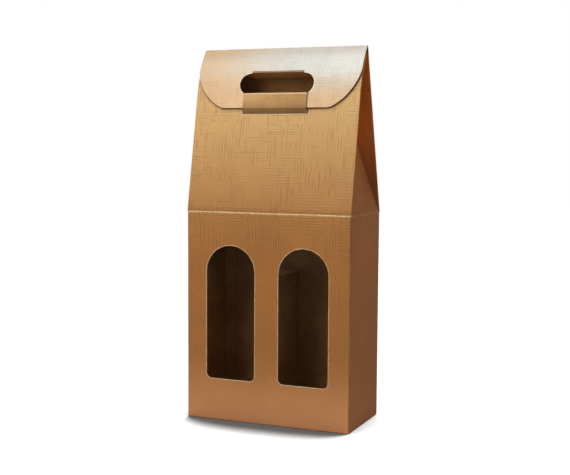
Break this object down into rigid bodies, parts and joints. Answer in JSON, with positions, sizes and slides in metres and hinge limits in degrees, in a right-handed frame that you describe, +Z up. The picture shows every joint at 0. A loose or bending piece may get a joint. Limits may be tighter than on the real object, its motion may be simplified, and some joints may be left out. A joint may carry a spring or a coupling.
{
  "type": "kraft wine carrier box",
  "caption": "Gable-topped folded board carrier with round-topped front windows, a lid locked over a hand hole by a folding tongue, an inward grip flap and a loose divider.",
  "frame": {"origin": "middle of the base, on the surface it stands on", "axes": "+Z up, the windowed front faces -Y, +X is the viewer's right when facing the front"},
  "size_m": [0.18, 0.0908, 0.3851],
  "materials": {
    "outer_board": "linen-embossed, faint pearl sheen",
    "inner_board": "matt",
    "divider_board": "matt"
  },
  "bodies": {
    "carrier": {"carrier": "outer_board", "divider": "divider_board"},
    "lock_tongue": {"lock_tongue": "inner_board"},
    "grip_flap": {"grip_flap": "outer_board"}
  },
  "joints": [
    {"name": "tongue_fold", "type": "hinge", "parent": "carrier", "child": "lock_tongue", "pos_m": [0, -0.02176, 0.33706], "axis": [-1, 0, 0], "range_deg": [0, 150]},
    {"name": "grip_fold", "type": "hinge", "parent": "carrier", "child": "grip_flap", "pos_m": [0, -0.01679, 0.35973], "axis": [-1, 0, 0], "range_deg": [0, 45]}
  ]
}
